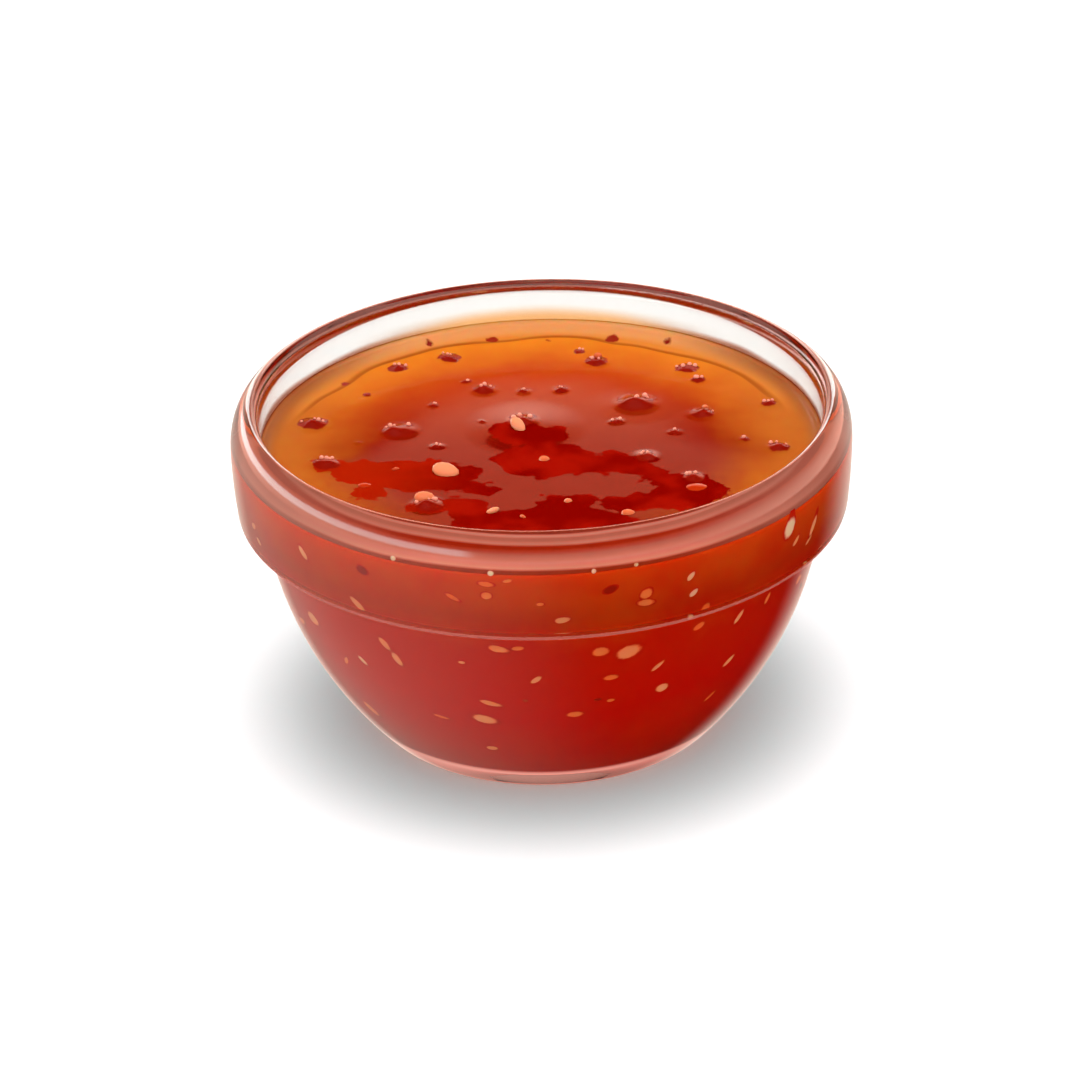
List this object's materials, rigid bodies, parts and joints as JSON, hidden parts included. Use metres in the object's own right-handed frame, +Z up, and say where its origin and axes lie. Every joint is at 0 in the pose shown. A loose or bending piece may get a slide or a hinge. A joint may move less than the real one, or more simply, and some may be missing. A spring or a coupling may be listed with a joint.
{
  "type": "glass dip bowl of sweet chili sauce",
  "caption": "Stackable clear glass dip bowl with a banded rim, filled with red-orange sweet chili sauce that holds seeds and chili flakes.",
  "frame": {"origin": "centre of the foot, on the surface that the bowl stands on", "axes": "+Z up, out of the bowl's mouth; the bowl is round about Z, and -Y faces the viewer"},
  "size_m": [0.075, 0.075, 0.0415],
  "materials": {
    "glass": "clear pressed soda-lime glass, fire polished",
    "sauce": "glossy translucent red-orange sauce"
  },
  "bodies": {
    "root": {"bowl": "glass", "sauce": "sauce"}
  },
  "joints": []
}
